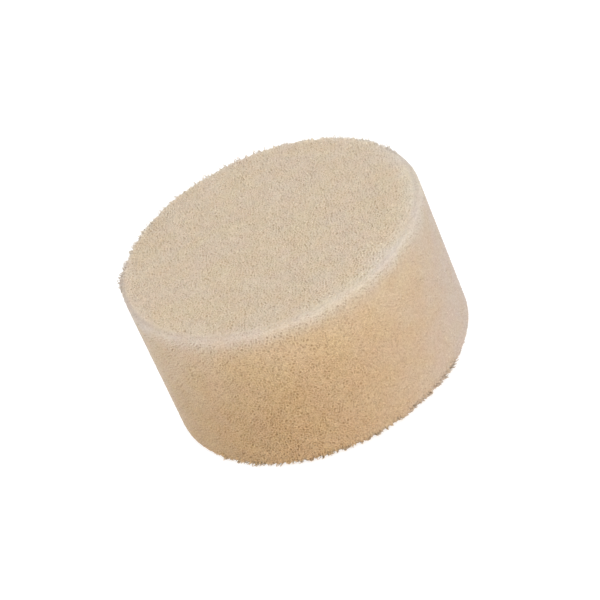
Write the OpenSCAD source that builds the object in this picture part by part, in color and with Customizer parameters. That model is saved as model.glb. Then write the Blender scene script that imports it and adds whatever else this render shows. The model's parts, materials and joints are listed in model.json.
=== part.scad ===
// Round block of open-cell filter foam, cut from sheet foam.
// Origin: centre of the lower face. +Z runs up the block's axis.

/* [Foam block] */
// Diameter of the block, across its round wall
block_d = 94; // [40:1:300]
// Height of the block, which is the thickness of the foam sheet
block_h = 50; // [20:1:120]
// Radius that the two cut edges are softened to
edge_r = 2; // [0.5:0.25:6]

/* [Hidden] */
block_r = block_d / 2;
edge_centre_r = block_r - edge_r;
wall_h = block_h - 2 * edge_r;
round_fn = 96;
foam_color = [0.80, 0.71, 0.57];

// Half of the block's cross-section: a tall core, the straight wall and the two round edges
module half_section() {
    square([edge_centre_r, block_h]);
    translate([0, edge_r]) square([block_r, wall_h]);
    for (z = [edge_r, block_h - edge_r])
        translate([edge_centre_r, z]) circle(r = edge_r, $fn = round_fn);
}

// The block of foam, solid right through
module foam_block() {
    color(foam_color)
        rotate_extrude($fn = round_fn)
            half_section();
}

foam_block();
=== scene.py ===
import json
import math

import bpy
import numpy as np
from mathutils import Matrix, Vector
from mathutils.geometry import delaunay_2d_cdt


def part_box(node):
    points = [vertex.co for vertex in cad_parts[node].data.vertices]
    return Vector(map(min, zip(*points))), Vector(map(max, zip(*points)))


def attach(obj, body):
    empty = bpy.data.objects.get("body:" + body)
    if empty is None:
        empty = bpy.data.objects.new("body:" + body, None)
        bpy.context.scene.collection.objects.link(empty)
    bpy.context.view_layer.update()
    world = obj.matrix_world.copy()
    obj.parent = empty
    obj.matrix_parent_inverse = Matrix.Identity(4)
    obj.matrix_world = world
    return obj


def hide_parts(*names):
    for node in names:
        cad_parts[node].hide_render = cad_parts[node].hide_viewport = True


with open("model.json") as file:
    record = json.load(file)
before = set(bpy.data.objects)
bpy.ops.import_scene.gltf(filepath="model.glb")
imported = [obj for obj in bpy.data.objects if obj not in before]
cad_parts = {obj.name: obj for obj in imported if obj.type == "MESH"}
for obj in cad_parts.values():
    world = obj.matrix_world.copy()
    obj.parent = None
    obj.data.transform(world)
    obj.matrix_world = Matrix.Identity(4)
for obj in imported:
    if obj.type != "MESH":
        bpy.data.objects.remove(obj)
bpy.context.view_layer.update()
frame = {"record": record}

# ---------------------------------------------------------------- sizes, in millimetres
MM = 0.001
LOW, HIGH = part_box("foam_block")
WALL = next(m for m in frame["record"]["mounts"] if m["name"] == "wall")
BLOCK_R = WALL["dims"]["r_mm"]
BLOCK_H = (HIGH.z - LOW.z) / MM
EDGE_R = (BLOCK_H - WALL["dims"]["length_mm"]) / 2
FLAT_R = BLOCK_R - EDGE_R
WALL_H = BLOCK_H - 2 * EDGE_R

# ---------------------------------------------------------------- view
MIDDLE = (LOW + HIGH) / 2
VIEW_ELEVATION = math.radians(34.1)
VIEW_ROLL = math.radians(-24.1)
VIEW_DISTANCE = 16.89 * BLOCK_R * MM
VIEW_LENS = 159.1
SENSOR = 36.0
VIEW_SHIFT = (0.0071, -0.0047)
VIEW_CLIP = (0.01, 20)


def add_object(name, data):
    """A new object in the scene."""
    thing = bpy.data.objects.new(name, data)
    bpy.context.scene.collection.objects.link(thing)
    return thing


def add_camera():
    """Looks along +Y and down, rolled so that the block's axis leans to the left."""
    back = Vector((0, -math.cos(VIEW_ELEVATION), math.sin(VIEW_ELEVATION)))
    up = Vector((0, math.sin(VIEW_ELEVATION), math.cos(VIEW_ELEVATION)))
    right = Vector((1, 0, 0))
    rolled_right = math.cos(VIEW_ROLL) * right + math.sin(VIEW_ROLL) * up
    rolled_up = -math.sin(VIEW_ROLL) * right + math.cos(VIEW_ROLL) * up
    data = bpy.data.cameras.new("camera")
    data.lens = VIEW_LENS
    data.sensor_width = SENSOR
    data.shift_x, data.shift_y = VIEW_SHIFT
    data.clip_start, data.clip_end = VIEW_CLIP
    camera = add_object("camera", data)
    turn = Matrix((rolled_right, rolled_up, back)).transposed().to_4x4()
    camera.matrix_world = Matrix.Translation(MIDDLE + back * VIEW_DISTANCE) @ turn
    bpy.context.scene.camera = camera


# ---------------------------------------------------------------- the block's smooth skin
# A place on it is s, the arc length from the top's centre, down the wall and on to the base's centre, and
# around, the angle about the block's axis. The S_ values are the places where its curvature changes.
S_TOP = FLAT_R
S_WALL = S_TOP + EDGE_R * math.pi / 2
S_FOOT = S_WALL + WALL_H
S_BASE = S_FOOT + EDGE_R * math.pi / 2
S_END = S_BASE + FLAT_R
TOP_RIM = (S_TOP + S_WALL) / 2
FOOT_RIM = (S_FOOT + S_BASE) / 2
SKIN_STEPS = 4000
TINY = 1e-6


def skin_point(s, around):
    """Points on the skin and its outward normals there."""
    turn = np.clip((s - S_TOP) / EDGE_R, 0, math.pi / 2) + np.clip((s - S_FOOT) / EDGE_R, 0, math.pi / 2)
    flat = np.where(s < S_FOOT, np.minimum(s, S_TOP), np.minimum(S_END - s, FLAT_R))
    z = BLOCK_H - EDGE_R - np.clip(s - S_WALL, 0, WALL_H) + EDGE_R * np.cos(turn)
    out = np.stack([np.cos(around), np.sin(around), np.zeros_like(s)], 1)
    point = out * (flat + EDGE_R * np.sin(turn))[:, None]
    point[:, 2] = z
    normal = out * np.sin(turn)[:, None]
    normal[:, 2] = np.cos(turn)
    return point, normal


def skin_place(point):
    """The arc length and angle of the skin point nearest to each given point."""
    rho = np.hypot(point[:, 0], point[:, 1])
    core_rho = np.minimum(rho, FLAT_R)
    core_z = np.clip(point[:, 2], EDGE_R, BLOCK_H - EDGE_R)
    turn = np.arctan2(rho - core_rho, point[:, 2] - core_z)
    faces_down = turn > 0.75 * math.pi
    flat = np.where(faces_down, 2 * FLAT_R - core_rho, core_rho)
    return flat + EDGE_R * turn + BLOCK_H - EDGE_R - core_z, np.arctan2(point[:, 1], point[:, 0])


def radius_at(s):
    """The skin's distance from the block's axis."""
    return np.linalg.norm(skin_point(s, np.zeros_like(s))[0][:, :2], axis=1)


def angle_from(around, centre):
    """The angle from a centre, between minus and plus half a turn."""
    return (around - centre + math.pi) % (2 * math.pi) - math.pi


def smooth(t):
    """0 to 1 with level ends."""
    t = np.clip(t, 0, 1)
    return t * t * (3 - 2 * t)


def lobe(around, centre, power=1):
    """1 on one side of the block, 0 from a quarter turn away from there."""
    return np.maximum(np.cos(around - centre), 0) ** power


def unrolled(s, around):
    """The skin laid out on a plane with no change of angle, with the base's centre at infinity."""
    steps = np.linspace(S_TOP, S_BASE, SKIN_STEPS)
    slope = 1 / radius_at(steps)
    log_r = np.concatenate([[0], np.cumsum((slope[1:] + slope[:-1]) / 2 * np.diff(steps))])
    middle = FLAT_R * np.exp(np.interp(s, steps, log_r))
    base = FLAT_R * math.exp(log_r[-1]) * FLAT_R / np.maximum(S_END - s, TINY)
    r = np.where(s < S_TOP, s, np.where(s < S_BASE, middle, base))
    return r * np.cos(around), r * np.sin(around)


def triangles_between(s, around):
    """Triangles, wound outwards, that join skin points to their neighbours. The last point is the base's
    centre."""
    x, y = unrolled(s[:-1], around[:-1])
    flat_points = [Vector(p) for p in zip(x.tolist(), y.tolist())]
    _, _, faces, first, _, _ = delaunay_2d_cdt(flat_points, [], [], 0, TINY, True)
    origin = np.array([ids[0] for ids in first])
    tri = origin[np.array(faces)]
    ring = np.concatenate([tri[:, [0, 1]], tri[:, [1, 2]], tri[:, [2, 0]]])
    count = len(s)
    forward = ring[:, 0] * count + ring[:, 1]
    outer = ring[~np.isin(ring[:, 1] * count + ring[:, 0], forward)]
    last = np.full(len(outer), count - 1)
    return np.concatenate([tri, np.stack([outer[:, 1], outer[:, 0], last], 1)])


# ---------------------------------------------------------------- the cut edges
# Along its torn stretch each edge stands out and in by clumps. Where there are two values, the first is for
# the upper edge and the second for the foot.
RIM_REACH = 0.8          # how far beyond its rounding an edge is torn
CLUMPS = 850             # so many places around an edge, each higher or lower than the next
CLUMP_SEED = 5
CLUMP_FROM = 0.3         # of the places, the share that is worn away, and the share that stands in full
CLUMP_PROUD = (0.30, 0.40)
CLUMP_BACK = 0.5         # of it, by which the torn stretch is set back
RAGGED_FROM = (math.radians(95), math.radians(-92))      # the torn stretch's middle
RAGGED_REACH = (math.radians(88), math.radians(64))      # and half its length
RAGGED_FADE = math.radians(16)

# The block's own unevenness: waves around the wall as turns, height and phase, a lean, and one proud corner
# of the upper edge
WAVES = ((1, 0.10, 2.1), (2, 0.29, 0.55), (3, 0.13, 1.8), (4, 0.13, 2.0), (5, 0.07, 2.8), (9, 0.06, 1.2))
INSET = 0.34             # room for what stands proud
LEAN = 0.12              # how far the top lies to one side of the middle, and the foot to the other
LEAN_TO = math.radians(-4)
CORNER_AT = math.radians(168)
CORNER_SPREAD = math.radians(7)
CORNER_DOWN = 4.0
CORNER_PROUD = 0.95
EVEN_TOP = 0.8           # of the top's radius, within which it is even


def on_rim(s):
    """1 on the two cut edges, falling smoothly to 0 a little beyond their rounding."""
    off = np.minimum(np.abs(s - TOP_RIM), np.abs(s - FOOT_RIM))
    half_rounding = EDGE_R * math.pi / 4
    return smooth(1 - (off - half_rounding) / RIM_REACH)


def below_middle(s):
    """1 on the lower half of the block, 0 on the upper half."""
    return (s > (S_WALL + S_FOOT) / 2).astype(int)


def ragged(s, around):
    """1 along the torn stretch of each cut edge, 0 where the edge is cleanly cut."""
    off = angle_from(around, np.take(RAGGED_FROM, below_middle(s)))
    return smooth((np.take(RAGGED_REACH, below_middle(s)) - np.abs(off)) / RAGGED_FADE)


def clumps(s, around):
    """Where along the two cut edges the struts stand in clumps, 1, and where they are worn away, 0."""
    knots = np.random.default_rng(CLUMP_SEED).random((2, CLUMPS))
    at_foot = below_middle(s)
    turn = (around / (2 * math.pi) % 1) * CLUMPS
    first = turn.astype(int) % CLUMPS
    step = smooth(turn % 1)
    value = knots[at_foot, first] * (1 - step) + knots[at_foot, (first + 1) % CLUMPS] * step
    return smooth((value - CLUMP_FROM) / (1 - 2 * CLUMP_FROM)) * ragged(s, around)


def unevenness(s, around):
    """How far the whole skin stands out from a true cylinder. The base stays flat."""
    wave = sum(height * np.sin(turns * around + phase) for turns, height, phase in WAVES) - INSET
    lean = LEAN * np.cos(around - LEAN_TO) * (1 - 2 * np.clip((s - S_WALL) / WALL_H, 0, 1))
    off = angle_from(around, CORNER_AT)
    corner = CORNER_PROUD * np.exp(-((off / CORNER_SPREAD) ** 2) - ((s - S_WALL) / CORNER_DOWN) ** 2)
    on_wall = smooth((s / FLAT_R - EVEN_TOP) / (1 - EVEN_TOP)) * smooth((S_BASE - s) / EDGE_R)
    proud = np.take(CLUMP_PROUD, below_middle(s))
    lumps = proud * (clumps(s, around) - CLUMP_BACK * ragged(s, around)) * on_rim(s)
    return (wave + lean + corner) * on_wall + lumps


# ---------------------------------------------------------------- the cells' middles
CELL_PITCH = 0.90
SEED = 27
GOLDEN_ANGLE = math.pi * (3 - math.sqrt(5))
SHAKE = 0.35             # of a pitch, by which the middles are moved off their spiral
EVEN_SHARE = 0.7         # of the way to the mean of its neighbours, by which each is then moved


def evened(s, around):
    """The cells' middles, moved towards the mean of their neighbours."""
    tri = triangles_between(s, around)
    point = skin_point(s, around)[0]
    total = np.zeros_like(point)
    degree = np.zeros(len(s))
    for i, j in ((0, 1), (1, 2), (2, 0)):
        np.add.at(total, tri[:, i], point[tri[:, j]])
        np.add.at(degree, tri[:, i], 1)
    mean = total / degree[:, None]
    s, around = skin_place(mean * EVEN_SHARE + point * (1 - EVEN_SHARE))
    s[-1] = S_END
    return s, around


def seed_cells(rng):
    """The cells' middles, on a sunflower spiral over the whole skin, shaken and evened, and the triangles
    between them."""
    area = 2 * math.pi * FLAT_R**2 + 2 * math.pi * BLOCK_R * (WALL_H + math.pi * EDGE_R)
    count = int(area / (CELL_PITCH**2 * math.sqrt(3) / 2))
    steps = np.linspace(0, S_END, SKIN_STEPS)
    share = np.cumsum(radius_at(steps))
    order = np.arange(count)
    s = np.interp((order + 0.5) / count * share[-1], share, steps)
    point = skin_point(s, order * GOLDEN_ANGLE)[0] + rng.normal(0, SHAKE * CELL_PITCH, (count, 3))
    s, around = skin_place(point)
    s[-1] = S_END
    s, around = evened(s, around)
    return s, around, triangles_between(s, around)


# ---------------------------------------------------------------- the cells and the struts between them
STRUT_HALF = 0.10        # half a strut's width
JUNCTION_HALF = 0.15     # and half a junction's
SHOULDER_DROP = 0.06     # how far a strut's shoulders are below its crest
NODE_SPREAD = 0.07       # how far the junctions lie below the smooth skin
STRUT_SAG = 0.12         # the most that a strut sags between them
PIT_DEPTH = (0.30, 1.05)
WALL_FOOT = 0.55         # of the way from a junction to the cell's middle, where its wall's foot is
FOOT_SHARE = 0.75        # of the cell's depth, that the wall's foot is down
BROKEN_SHARE = 0.30      # of the struts between two cells, which are torn and let the cells run together
BROKEN_DROP = 0.50       # the most that they are torn down
CLOSED_FROM = math.radians(-30)
CLOSED_REACH = 8.0
CLOSED_SHARE = 0.65      # of the depth, lost where the cells are most nearly closed
CLOSED_POWER = 0.7

# Cut strut ends that stand up along the two cut edges
RIM_PIT_SHARE = 0.5      # of a pit's depth that is left on the upper edge
SPIKE_SHARE = 0.4        # of the struts' ends on the upper edge
FOOT_SPIKE_SHARE = 0.6
SPIKE_HEIGHT = (0.15, 0.80)
SPIKE_SHOULDER = 0.55    # height of a standing strut's shoulders, and of the ridge between two of them
FOOT_LENGTH = 1.7        # how much further struts stand out at the foot, where they lie along the floor
FOOT_RISE = 0.15         # the least upward part of their direction there


def closed_side(s, around):
    """1 on the side of the wall where the cells are most nearly closed, 0 on its far side and elsewhere."""
    on_wall = smooth((s - S_TOP) / CLOSED_REACH) * smooth((S_BASE + EDGE_R - s) / EDGE_R)
    return on_wall * lobe(around, CLOSED_FROM, CLOSED_POWER)


def leaning(normal, proud):
    """The way in which struts stand: along the normal, but out over the floor where they stand proud at
    the foot."""
    lean = normal.copy()
    lean[:, 2] = np.where(proud, np.maximum(lean[:, 2], FOOT_RISE), lean[:, 2])
    return lean / np.linalg.norm(lean, axis=1, keepdims=True)


class Layer:
    """Skin points with a height over the smooth skin."""

    def __init__(self, point, height):
        self.s, self.around = skin_place(point)
        self.base, self.normal = skin_point(self.s, self.around)
        self.height = height * np.ones(len(point))

    def top(self):
        """The points at their height. What stands proud at the foot leans out over the floor."""
        lean = leaning(self.normal, self.height > 0)
        out = self.normal * unevenness(self.s, self.around)[:, None]
        point = self.base + out + lean * self.height[:, None]
        point[:, 2] = np.maximum(point[:, 2], 0)
        return point


def towards(point, target, distance):
    """Points moved towards their targets by a distance, never more than half-way."""
    gap = target - point
    length = np.linalg.norm(gap, axis=1)
    return point + gap * (np.minimum(distance, 0.5 * length) / length)[:, None]


def cell_edges(tri, count):
    """The directed edges of the triangles between cells: each one's start, and the start's corner in the
    triangle on its left and on its right. Then the first edge of each pair of opposite ones, and the pair
    that each is in. Corner k * faces + t is cell tri[t, k]'s in triangle t."""
    faces = len(tri)
    start = tri.T.ravel()
    end = np.roll(tri, -1, 1).T.ravel()
    key = start * count + end
    order = np.argsort(key)
    back = order[np.searchsorted(key[order], end * count + start)]
    left_corner = np.arange(3 * faces)
    right_corner = (back // faces + 1) % 3 * faces + back % faces
    pair = np.minimum(start, end) * count + np.maximum(start, end)
    _, first, number = np.unique(pair, return_index=True, return_inverse=True)
    return start, left_corner, right_corner, first, number


def junctions(rng, point):
    """The layer of points where three cells meet. On the cut edges some stand up as cut ends of struts."""
    node = Layer(point, 0)
    count = len(point)
    at_foot = node.s > S_FOOT - RIM_REACH
    standing = rng.random(count) < np.where(at_foot, FOOT_SPIKE_SHARE, SPIKE_SHARE)
    spike = standing * rng.uniform(*SPIKE_HEIGHT, count) * clumps(node.s, node.around)
    spike *= np.where(at_foot, FOOT_LENGTH, 1)
    node.height = -np.abs(rng.normal(0, NODE_SPREAD, count)) + on_rim(node.s) * spike
    return node


def strut_middles(rng, node, end_a, end_b):
    """The layer of the middles of the struts between junctions. Struts sag, and some are torn."""
    strut = Layer((node.base[end_a] + node.base[end_b]) / 2, 0)
    count = len(end_a)
    calm = 1 - on_rim(strut.s)
    sag = STRUT_SAG * rng.random(count)
    torn = (rng.random(count) < BROKEN_SHARE) * BROKEN_DROP * rng.random(count) * calm
    lower = np.minimum(node.height[end_a], node.height[end_b])
    strut.height = np.where(lower > 0, SPIKE_SHOULDER, 1) * lower - sag - torn
    return strut


def cell_depths(rng, s, around):
    """How deep each cell is: less on the upper edge and where the cells are nearly closed."""
    depth = rng.uniform(*PIT_DEPTH, len(s)) * (1 - (1 - RIM_PIT_SHARE) * on_rim(s) * (s < S_FOOT))
    return depth * (1 - CLOSED_SHARE * closed_side(s, around))


def cell_triangles(layers, edges, corner_node):
    """Eight triangles for each side of each strut, from its crest down to the cell's middle."""
    start, left_corner, right_corner, _, number = edges
    offset = np.cumsum([0] + [len(layer.s) for layer in layers])
    near_node = offset[0] + corner_node[right_corner]
    far_node = offset[0] + corner_node[left_corner]
    middle = offset[1] + number
    near_shoulder = offset[2] + right_corner
    far_shoulder = offset[2] + left_corner
    middle_shoulder = offset[3] + left_corner
    near_foot = offset[4] + right_corner
    far_foot = offset[4] + left_corner
    floor = offset[5] + start
    corners = (
        (near_node, middle, middle_shoulder),
        (near_node, middle_shoulder, near_shoulder),
        (middle, far_node, far_shoulder),
        (middle, far_shoulder, middle_shoulder),
        (near_shoulder, middle_shoulder, near_foot),
        (middle_shoulder, far_foot, near_foot),
        (middle_shoulder, far_shoulder, far_foot),
        (near_foot, far_foot, floor),
    )
    return np.concatenate([np.stack(c, 1) for c in corners])


def foam_surface(rng):
    """The layers and triangles of a closed skin of open cells with struts between them. Each cell goes down
    from its struts by their shoulders and its wall's foot to its middle."""
    s, around, tri = seed_cells(rng)
    seeds, _ = skin_point(s, around)
    edges = cell_edges(tri, len(seeds))
    start, left_corner, right_corner, first, number = edges
    corner_node = left_corner % len(tri)
    node = junctions(rng, seeds[tri].mean(1))
    strut = strut_middles(rng, node, corner_node[first], corner_node[right_corner[first]])
    depth = cell_depths(rng, s, around)

    seed = seeds[start]
    corner = node.base[corner_node]
    crest = node.height[corner_node]
    shoulder = np.where(crest > 0, SPIKE_SHOULDER, 1) * crest - SHOULDER_DROP
    layers = [
        node,
        strut,
        Layer(towards(corner, seed, JUNCTION_HALF), shoulder),
        Layer(towards(strut.base[number], seed, STRUT_HALF), strut.height[number] - SHOULDER_DROP),
        Layer(corner + (seed - corner) * WALL_FOOT, -FOOT_SHARE * depth[start]),
        Layer(seeds, -depth),
    ]
    return layers, cell_triangles(layers, edges, corner_node)


# ---------------------------------------------------------------- loose struts along the cut edges
LOOSE_STRUTS = 1800      # of which those on the torn stretches are kept
LOOSE_FOOT_SHARE = 0.6
LOOSE_SPREAD = 0.3       # of the edge's radius
LOOSE_SPAN = (0.5, 1.5)
LOOSE_HEIGHT = (0.2, 0.95)
LOOSE_RADIUS = (0.05, 0.11)
LOOSE_LOOP_SHARE = 0.5
LOOSE_TORN_AT = (0.45, 0.7)
LOOSE_LEAST = 0.10       # of their height, that is left between the clumps
LOOSE_ROOT = 0.25        # how deep both ends are set into the skin
LOOSE_RINGS = 8
LOOSE_SIDES = 6


def loose_roots(rng):
    """The arc length and angle of each loose strut's root, and whether it is at the foot."""
    at_foot = rng.random(LOOSE_STRUTS) < LOOSE_FOOT_SHARE
    s = np.where(at_foot, FOOT_RIM, TOP_RIM) + rng.normal(0, LOOSE_SPREAD * EDGE_R, LOOSE_STRUTS)
    around = rng.uniform(0, 2 * math.pi, LOOSE_STRUTS)
    torn = ragged(s, around) > rng.random(LOOSE_STRUTS)
    return s[torn], around[torn], at_foot[torn]


def loose_paths(rng, s, around, at_foot):
    """The middle line of each loose strut, which arches out of the skin and back in, or ends torn off on the
    way. Also the direction across its arch, and its radius."""
    count = len(s)
    root, normal = skin_point(s, around)
    root = root + normal * unevenness(s, around)[:, None]
    lean = leaning(normal, np.ones(count, bool))
    ring_way = np.stack([-np.sin(around), np.cos(around), np.zeros(count)], 1)
    turn = rng.uniform(0, math.pi, count)[:, None]
    way = ring_way * np.cos(turn) + np.cross(normal, ring_way) * np.sin(turn)
    span = rng.uniform(*LOOSE_SPAN, count)[:, None, None]
    height = rng.uniform(*LOOSE_HEIGHT, count) * np.where(at_foot, FOOT_LENGTH, 1)
    height *= LOOSE_LEAST + (1 - LOOSE_LEAST) * clumps(s, around)
    radius = rng.uniform(*LOOSE_RADIUS, count)
    reach = np.where(rng.random(count) < LOOSE_LOOP_SHARE, 1, rng.uniform(*LOOSE_TORN_AT, count))

    t = np.linspace(0, 1, LOOSE_RINGS)[None, :, None] * reach[:, None, None]
    path = root[:, None] + way[:, None] * (t - 0.5) * span
    path = path + lean[:, None] * (4 * t * (1 - t) * (height[:, None, None] + LOOSE_ROOT) - LOOSE_ROOT)
    path[:, :, 2] = np.maximum(path[:, :, 2], radius[:, None])
    side = np.cross(way, lean)
    return path, side / np.linalg.norm(side, axis=1, keepdims=True), radius


def tube_points(path, side, radius):
    """The points of a tube around each path, ring by ring."""
    along = np.gradient(path, axis=1)
    along /= np.linalg.norm(along, axis=2, keepdims=True)
    up = np.cross(side[:, None], along)
    turn = np.linspace(0, 2 * math.pi, LOOSE_SIDES, endpoint=False)[None, None, :, None]
    out = np.cos(turn) * side[:, None, None] + np.sin(turn) * up[:, :, None]
    return (path[:, :, None] + radius[:, None, None, None] * out).reshape(-1, 3)


def tube_triangles(count):
    """The triangles of so many tubes with closed ends."""
    ring, side = np.meshgrid(np.arange(LOOSE_RINGS - 1), np.arange(LOOSE_SIDES), indexing="ij")
    here = (ring * LOOSE_SIDES + side).ravel()
    beside = (ring * LOOSE_SIDES + (side + 1) % LOOSE_SIDES).ravel()
    tube = np.concatenate([
        np.stack([here, here + LOOSE_SIDES, beside], 1),
        np.stack([beside, here + LOOSE_SIDES, beside + LOOSE_SIDES], 1),
    ])
    near_end = np.array([(0, i, i + 1) for i in range(1, LOOSE_SIDES - 1)])
    far_end = near_end[:, ::-1] + (LOOSE_RINGS - 1) * LOOSE_SIDES
    one = np.concatenate([tube, near_end, far_end])
    start = np.arange(count) * LOOSE_RINGS * LOOSE_SIDES
    return (one[None] + start[:, None, None]).reshape(-1, 3)


def loose_struts(rng):
    """Closed thin tubes that arch out of the two cut edges: points, triangles, and the arc length and angle
    of each point's root."""
    s, around, at_foot = loose_roots(rng)
    points = tube_points(*loose_paths(rng, s, around, at_foot))
    each = LOOSE_RINGS * LOOSE_SIDES
    return points, tube_triangles(len(s)), np.repeat(s, each), np.repeat(around, each)


# ---------------------------------------------------------------- the UV map to bake the material on
BAKE_MAP = "OFBake"
MAP_GAP = 2.0            # between the map's patches
LOOSE_PATCH = 1.5        # the side of each loose strut's own patch
LOOSE_FILL = 0.8         # of that side, that the strut takes up
LOOSE_COLUMNS = 30       # of patches, side by side


def skin_map(tri_s, tri_around):
    """The skin laid flat, in millimetres: the two round faces side by side, and the wall in two halves. Also
    the whole map's side."""
    wall_h = FOOT_RIM - TOP_RIM
    near = tri_around[:, :1] + angle_from(tri_around, tri_around[:, :1])
    mid_s = tri_s.mean(1)
    mid_around = near.mean(1) % (2 * math.pi)
    near = mid_around[:, None] + (near - near.mean(1)[:, None])
    flat = np.zeros((*tri_s.shape, 2))
    for part, reach, x in (
        (mid_s < TOP_RIM, tri_s, TOP_RIM + MAP_GAP),
        (mid_s > FOOT_RIM, S_END - tri_s, 3 * TOP_RIM + 2 * MAP_GAP),
    ):
        flat[part, :, 0] = (x + reach * np.cos(near))[part]
        flat[part, :, 1] = (TOP_RIM + MAP_GAP + reach * np.sin(near))[part]
    for half in (0, 1):
        part = (mid_s >= TOP_RIM) & (mid_s <= FOOT_RIM) & ((mid_around > math.pi) == half)
        y = 2 * TOP_RIM + (2 + half) * MAP_GAP + (half + 1) * wall_h
        flat[part, :, 0] = (MAP_GAP + (near - half * math.pi) * BLOCK_R)[part]
        flat[part, :, 1] = (y - tri_s + TOP_RIM)[part]
    return flat, 2 * TOP_RIM + 4 * MAP_GAP + 2 * wall_h


def loose_map(tris):
    """A small patch for each loose strut, in the map's empty corner beside the wall."""
    each = LOOSE_RINGS * LOOSE_SIDES
    number = tris // each
    place = tris % each
    x = number % LOOSE_COLUMNS + LOOSE_FILL * (place // LOOSE_SIDES) / LOOSE_RINGS
    y = number // LOOSE_COLUMNS + LOOSE_FILL * (place % LOOSE_SIDES) / LOOSE_SIDES
    corner = np.array([math.pi * BLOCK_R, 2 * TOP_RIM]) + 2 * MAP_GAP
    return corner + np.stack([x, y], 2) * LOOSE_PATCH


# ---------------------------------------------------------------- what the mesh holds for the material
# Each angle called _FROM is the side on which a value is strongest, and where it is a pair, that side moves
# from the first at the upper edge to the second at the foot. Lengths run down from the upper edge's middle.
# The warm colour on the wall is painted shade, strongest on one side, with some on the far side
WARM_SHADE_FROM = (math.radians(-90), math.radians(-128))
WARM_SHADE_REACH = 4.5         # how far down the wall the painted warm shade reaches most of its strength
WARM_SHADE_RISE = 1.5          # how suddenly it does
WARM_SHADE_POWER = 1.2         # how narrow the side with the painted warm shade is
# The dark specks are grain, but made strongest on the side of the painted warm shade: partly painted shade
SPECK_REACH = 9.5
SPECK_RISE = 1.4
SPECK_POWER = 1.8
# Painted shade that darkens the wall towards the foot, strongest on one side
DIM_FROM = (math.radians(-88), math.radians(-115))
DIM_REACH = 22.4
DIM_RISE = 2
WALL_FROM = -2.1         # where the painted shade on the wall starts
WALL_REACH = 1.7
LESS_SHADE_FROM = math.radians(-108)
LESS_SHADE_SHARE = 0.42       # how much less painted shade the wall takes on this side
BACK_FROM = math.radians(88)
BACK_SPREAD = 1.6        # how broad the far side is
BACK_LESS_SHADE_SHARE = 0.85
BACK_WARM_SHADE = 0.40         # how much painted warm shade the far side takes, against the near side
TOP_WARM_FROM = math.radians(-135)
TOP_WARM = 0.10          # how much of the warm colour the top takes, where it takes most
BASE_REACH = 5.0         # how far in under the block the wall's colour goes
LOOSE_TOP_SHADE_SHARE = 0.5    # of the loose struts' painted shade, on the upper edge

# The pale band along the upper edge, broadest and palest on one side, and painted shade just under it
BROAD_FROM = math.radians(-28)
RIM_DOWN = 0.45
RIM_BAND = (3.2, 4.5)    # half its width, inwards and down the wall
RIM_SHARE = 0.14         # of its own colour
BROAD_DOWN = -0.55       # what its place, its widths and its share gain on the broad side
BROAD_BAND = 2.0
BROAD_SHARE = 0.17
UNDER_RIM_SHADE_FROM = math.radians(-58)
UNDER_RIM_SHADE_DOWN = 2.6
UNDER_RIM_SHADE_BROAD_DOWN = 0.7  # what its place gains on the broad side
UNDER_RIM_SHADE_BAND = 3.9


def between(ends, share):
    """The value a share of the way from the first of two ends to the second."""
    return ends[0] + (ends[1] - ends[0]) * share


def rising(down, reach, rise):
    """0 at the upper edge, near 1 beyond a reach down from it."""
    return 1 - np.exp(-((down / reach) ** rise))


def band(off, width):
    """1 in a band's middle, near 0 beyond its width."""
    return np.exp(-((off / width) ** 2))


def edge_values(s, around):
    """The pale band along the upper edge and the band of painted shade under it."""
    broad = lobe(around, BROAD_FROM)
    off_pale = s - TOP_RIM - RIM_DOWN - BROAD_DOWN * broad
    pale = band(off_pale, np.where(off_pale < 0, *RIM_BAND) + BROAD_BAND * broad)
    off_under_rim = s - TOP_RIM - UNDER_RIM_SHADE_DOWN - UNDER_RIM_SHADE_BROAD_DOWN * broad
    return {
        "rim": smooth(pale) * (RIM_SHARE + BROAD_SHARE * broad),
        # painted shade just under the upper edge, against the light that its rounding catches
        "yellow": lobe(around, UNDER_RIM_SHADE_FROM) * band(off_under_rim, UNDER_RIM_SHADE_BAND),
    }


def wall_values(s, around):
    """How much painted shade the wall takes, as darkening, a warm shade and dimming, and how strongly it is
    specked.
    """
    down = np.maximum(s - TOP_RIM, 0)
    down_share = np.minimum(down / BLOCK_H, 1)
    base_fade = smooth((S_BASE + BASE_REACH - s) / BASE_REACH)
    back = smooth(BACK_SPREAD * np.cos(around - BACK_FROM))
    less_shade = LESS_SHADE_SHARE * lobe(around, LESS_SHADE_FROM) + BACK_LESS_SHADE_SHARE * back
    warm_shade_from = between(WARM_SHADE_FROM, down_share)
    warm_shade_side = lobe(around, warm_shade_from, WARM_SHADE_POWER) + BACK_WARM_SHADE * back
    speck_side = lobe(around, warm_shade_from, SPECK_POWER) + BACK_WARM_SHADE * back
    dim_side = lobe(around, between(DIM_FROM, down_share**2))
    top_side = (1 + np.cos(around - TOP_WARM_FROM) * np.minimum(s / S_TOP, 1)) / 2
    top_warm = TOP_WARM * top_side * (s < TOP_RIM)
    return {
        # painted shade on the wall, less on one side and on the far side
        "wall": smooth((s - TOP_RIM - WALL_FROM) / WALL_REACH) * (1 - less_shade) * base_fade,
        "warm": rising(down, WARM_SHADE_REACH, WARM_SHADE_RISE) * warm_shade_side * base_fade + top_warm,
        "speck": rising(down, SPECK_REACH, SPECK_RISE) * speck_side * base_fade + top_warm,
        "dim": rising(down, DIM_REACH, DIM_RISE) * dim_side * base_fade,
    }


def loose_shade_values(s, around):
    """How far loose struts take their painted shade."""
    return np.where(s > S_WALL, 1.0, LOOSE_TOP_SHADE_SHARE) * ragged(s, around)


# ---------------------------------------------------------------- the foam's material
SPECULAR = 0.15
SSS_WEIGHT = 0.5
SSS_RADIUS = (1.0, 0.95, 0.9)
SSS_SCALE = 1.5
ROUGHNESS = (0.55, 0.85)
BUMP_STRENGTH = 0.25
BUMP_DEPTH = 0.1

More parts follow.
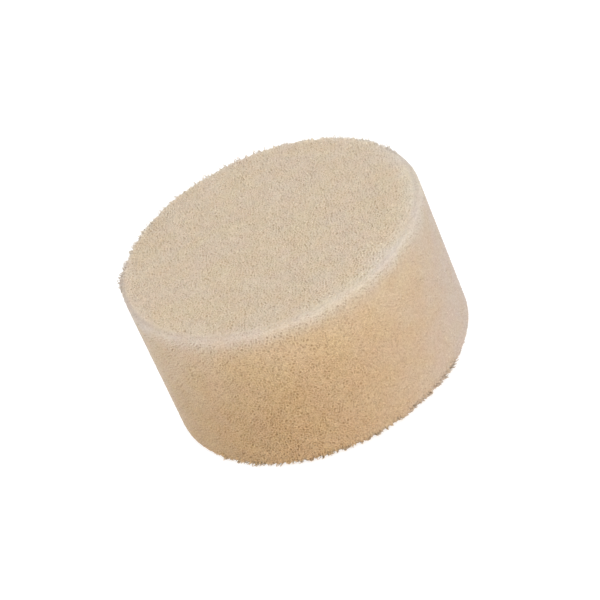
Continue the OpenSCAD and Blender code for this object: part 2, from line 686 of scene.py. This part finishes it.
# Colours, and shades that multiply them
PALE_CREST = (0.655, 0.553, 0.44)
# The pits' colours hold painted shade, deeper with the cell's depth
PALE_PIT_SHADE = (0.588, 0.484, 0.375)
# The warm colours are painted shade on one side of the wall
WARM_SHADE_CREST = (0.694, 0.527, 0.322)
WARM_SHADE_PIT = (0.532, 0.391, 0.224)
RIM_COLOR = (0.781, 0.76, 0.73)
# Painted shade in the deepest cells
HOLE_SHADE = (0.57, 0.52, 0.46)
HOLE_SHADE_SHARE = 0.5
# Painted glints of light on a few struts
GLINT_COLOR = (0.88, 0.79, 0.62)
GLINT_SHARE = 0.6
# Painted shade on the loose struts, seen from their shaded side
LOOSE_SHADE_COLOR = (0.45, 0.41, 0.36)
LOOSE_SHADE_SHARE = 0.2
# Painted shade on the wall
WALL_PAINTED_SHADE = (0.718, 0.706, 0.754)
# Painted shade just under the upper edge
UNDER_RIM_SHADE = (0.835, 0.803, 0.717)
# Painted shade down the wall, towards the foot
DIM_PAINTED_SHADE = (0.901, 0.819, 0.726)
BLOTCH_YELLOW = (1.0, 0.99, 0.93)
BLOTCH_PINK = (1.0, 0.97, 0.97)
GRAIN_SHADE = (0.86, 0.855, 0.845)
SPECK_SHADE = (0.74, 0.73, 0.71)
NO_SHADE = (1.0, 1.0, 1.0)

# The sizes of the clouds that they follow, and the spans of a cloud or a cell's depth over which they grow
YELLOW_SIZE = 9.0
PINK_SIZE = 7.0
GLINT_SIZE = 0.7
ROUGH_SIZE = 0.7
GRAIN_SIZE = 0.5
SPECK_SIZE = 0.35
BUMP_SIZE = 0.25
PIT_SHADE_SPAN = (0.05, 0.60)
HOLE_SHADE_SPAN = (0.55, 1.0)
GLINT_SPAN = (0.72, 0.82)
BLOTCH_SPAN = (0.35, 0.65)
GRAIN_SPAN = (0.3, 0.7)


def new_material(name):
    """A new material, and its shader."""
    material = bpy.data.materials.new(name)
    material.use_nodes = True
    return material, material.node_tree.nodes["Principled BSDF"]


def attribute(tree, name):
    """The value that the mesh holds under this name."""
    node = tree.nodes.new("ShaderNodeAttribute")
    node.attribute_name = name
    return node.outputs["Fac"]


def mixed(tree, share, first, second, blend="MIX"):
    """A colour between two colours, each a tuple or a socket. The share is a number or a socket."""
    node = tree.nodes.new("ShaderNodeMix")
    node.data_type = "RGBA"
    node.blend_type = blend
    for socket, value in ((node.inputs[0], share), (node.inputs[6], first), (node.inputs[7], second)):
        if isinstance(value, tuple):
            socket.default_value = (*value, 1)
        elif isinstance(value, float):
            socket.default_value = value
        else:
            tree.links.new(value, socket)
    return node.outputs[2]


def mapped(tree, value, span, low=0.0, high=1.0):
    """Grows smoothly from low to high while the value goes over a span."""
    node = tree.nodes.new("ShaderNodeMapRange")
    node.interpolation_type = "SMOOTHSTEP"
    tree.links.new(value, node.inputs["Value"])
    for name, number in (("From Min", span[0]), ("From Max", span[1]), ("To Min", low), ("To Max", high)):
        node.inputs[name].default_value = number
    return node.outputs["Result"]


def noise(tree, size, detail=2.0):
    """A cloudy value whose lumps are about this many millimetres across."""
    place = tree.nodes.new("ShaderNodeTexCoord")
    node = tree.nodes.new("ShaderNodeTexNoise")
    node.inputs["Scale"].default_value = 1 / (size * MM)
    node.inputs["Detail"].default_value = detail
    tree.links.new(place.outputs["Object"], node.inputs["Vector"])
    return node.outputs["Fac"]


def foam_color(tree):
    """Pale struts over pits with painted shade, painted warm shade and darkening down the wall, paler along
    the upper edge, with soft blotches, specks, painted shade on the loose struts and a few painted glints."""
    depth = attribute(tree, "cell_depth")
    # painted shade in the pits, deeper with the cell's depth
    pit_shade = mapped(tree, depth, PIT_SHADE_SPAN)
    # painted glints of light
    glint = mapped(tree, noise(tree, GLINT_SIZE, detail=0.0), GLINT_SPAN, high=GLINT_SHARE)
    pale = mixed(tree, glint, mixed(tree, pit_shade, PALE_CREST, PALE_PIT_SHADE), GLINT_COLOR)
    # the colours of the painted warm shade on one side of the wall
    warm = mixed(tree, pit_shade, WARM_SHADE_CREST, WARM_SHADE_PIT)
    color = mixed(tree, attribute(tree, "warm"), pale, warm)
    # painted shade on the wall, down towards the foot, and just under the upper edge
    for name, shade in (("wall", WALL_PAINTED_SHADE), ("dim", DIM_PAINTED_SHADE), ("yellow", UNDER_RIM_SHADE)):
        color = mixed(tree, attribute(tree, name), color, shade, "MULTIPLY")
    # painted shade in the deepest cells
    color = mixed(tree, mapped(tree, depth, HOLE_SHADE_SPAN, high=HOLE_SHADE_SHARE), color, HOLE_SHADE, "MULTIPLY")
    color = mixed(tree, attribute(tree, "rim"), color, RIM_COLOR)
    # painted shade on the loose struts
    loose = mapped(tree, attribute(tree, "loose"), (0.0, 1.0), high=LOOSE_SHADE_SHARE)
    color = mixed(tree, loose, color, LOOSE_SHADE_COLOR)
    for size, shade in ((YELLOW_SIZE, BLOTCH_YELLOW), (PINK_SIZE, BLOTCH_PINK)):
        color = mixed(tree, mapped(tree, noise(tree, size), BLOTCH_SPAN), color, shade, "MULTIPLY")
    speck = mapped(tree, noise(tree, SPECK_SIZE, detail=1.0), BLOTCH_SPAN)
    speck_shade = mixed(tree, speck, NO_SHADE, SPECK_SHADE)
    speck_shade = mixed(tree, attribute(tree, "speck"), NO_SHADE, speck_shade)
    color = mixed(tree, 1.0, color, speck_shade, "MULTIPLY")
    return mixed(tree, mapped(tree, noise(tree, GRAIN_SIZE), GRAIN_SPAN), color, GRAIN_SHADE, "MULTIPLY")


def foam_material():
    """Dull, with a little light scattered under the surface and a fine uneven bump."""
    material, shader = new_material("foam")
    tree = material.node_tree
    shader.inputs["Specular IOR Level"].default_value = SPECULAR
    shader.inputs["Subsurface Weight"].default_value = SSS_WEIGHT
    shader.inputs["Subsurface Radius"].default_value = SSS_RADIUS
    shader.inputs["Subsurface Scale"].default_value = SSS_SCALE * MM
    tree.links.new(foam_color(tree), shader.inputs["Base Color"])
    roughness = mapped(tree, noise(tree, ROUGH_SIZE), GRAIN_SPAN, *ROUGHNESS)
    tree.links.new(roughness, shader.inputs["Roughness"])
    bump = tree.nodes.new("ShaderNodeBump")
    bump.inputs["Strength"].default_value = BUMP_STRENGTH
    bump.inputs["Distance"].default_value = BUMP_DEPTH * MM
    tree.links.new(noise(tree, BUMP_SIZE, detail=3.0), bump.inputs["Height"])
    tree.links.new(bump.outputs["Normal"], shader.inputs["Normal"])
    return material


# ---------------------------------------------------------------- the piece
def triangle_mesh(name, verts, tris):
    """A smooth-shaded mesh of triangles between points in millimetres."""
    mesh = bpy.data.meshes.new(name)
    mesh.vertices.add(len(verts))
    mesh.vertices.foreach_set("co", (verts * MM).astype(np.float32).ravel())
    mesh.loops.add(3 * len(tris))
    mesh.loops.foreach_set("vertex_index", tris.astype(np.int32).ravel())
    mesh.polygons.add(len(tris))
    mesh.polygons.foreach_set("loop_start", np.arange(0, 3 * len(tris), 3, dtype=np.int32))
    mesh.polygons.foreach_set("use_smooth", np.ones(len(tris), bool))
    mesh.update(calc_edges=True)
    return mesh


def foam_mesh():
    """The whole block: its skin of cells, with the loose struts along its cut edges."""
    rng = np.random.default_rng(SEED)
    layers, skin_tris = foam_surface(rng)
    loose_points, loose_tris, loose_s, loose_around = loose_struts(rng)
    skin_s = np.concatenate([layer.s for layer in layers])
    skin_around = np.concatenate([layer.around for layer in layers])
    skin_height = np.concatenate([layer.height for layer in layers])
    verts = np.concatenate([layer.top() for layer in layers] + [loose_points])
    mesh = triangle_mesh("foam", verts, np.concatenate([skin_tris, loose_tris + len(skin_s)]))

    s = np.concatenate([skin_s, loose_s])
    around = np.concatenate([skin_around, loose_around])
    values = {
        "cell_depth": np.concatenate([-skin_height, np.zeros(len(loose_s))]),
        "loose": np.concatenate([np.zeros(len(skin_s)), loose_shade_values(loose_s, loose_around)]),
        **edge_values(s, around),
        **wall_values(s, around),
    }
    for name, value in values.items():
        mesh.attributes.new(name, "FLOAT", "POINT").data.foreach_set("value", value.astype(np.float32))
    flat, map_side = skin_map(skin_s[skin_tris], skin_around[skin_tris])
    uv = np.concatenate([flat, loose_map(loose_tris)]) / map_side
    mesh.uv_layers.new(name=BAKE_MAP).data.foreach_set("uv", uv.astype(np.float32).ravel())
    return mesh


def add_foam():
    """The one piece, a soft block that fills its space."""
    foam = add_object("foam", foam_mesh())
    foam.data.materials.append(foam_material())
    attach(foam, "root")
    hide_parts("foam_block")


# ---------------------------------------------------------------- floor and light, in metres and watts
FLOOR_HALF = 3.0
FLOOR_GREY = 0.5
FLOOR_ROUGHNESS = 0.9
FLOOR_GLOW = 0.65
WORLD_LIGHT = 1.0
SOFTBOXES = {            # place, side and power of each
    "softbox_top": ((0.0, 0.2, 1.4), 1.6, 2),
    "softbox_front": ((0.25, -1.2, 0.4), 0.7, 8),
}
WHITE = (1, 1, 1, 1)


def add_floor():
    """A plain floor that glows a little, so that it stays as pale as the world around it."""
    mesh = bpy.data.meshes.new("floor")
    corners = [(x * FLOOR_HALF, y * FLOOR_HALF, 0) for x, y in ((-1, -1), (1, -1), (1, 1), (-1, 1))]
    mesh.from_pydata(corners, [], [(0, 1, 2, 3)])
    material, shader = new_material("floor")
    shader.inputs["Base Color"].default_value = (FLOOR_GREY, FLOOR_GREY, FLOOR_GREY, 1)
    shader.inputs["Roughness"].default_value = FLOOR_ROUGHNESS
    shader.inputs["Emission Color"].default_value = WHITE
    shader.inputs["Emission Strength"].default_value = FLOOR_GLOW
    mesh.materials.append(material)
    floor = add_object("floor", mesh)


def add_softbox(name, place, size, energy):
    """A square soft light at a place, aimed at the block."""
    data = bpy.data.lights.new(name, "AREA")
    data.shape = "SQUARE"
    data.size = size
    data.energy = energy
    light = add_object(name, data)
    light.location = place
    light.rotation_euler = (MIDDLE - Vector(place)).to_track_quat("-Z", "Y").to_euler()


def add_light():
    """Even white light from all around, with two softboxes."""
    world = bpy.data.worlds.new("studio")
    bpy.context.scene.world = world
    world.use_nodes = True
    background = world.node_tree.nodes["Background"]
    background.inputs["Color"].default_value = WHITE
    background.inputs["Strength"].default_value = WORLD_LIGHT
    for name, (place, size, energy) in SOFTBOXES.items():
        add_softbox(name, place, size, energy)


add_camera()
add_floor()
add_light()
add_foam()
bpy.context.scene.view_settings.view_transform = "Standard"
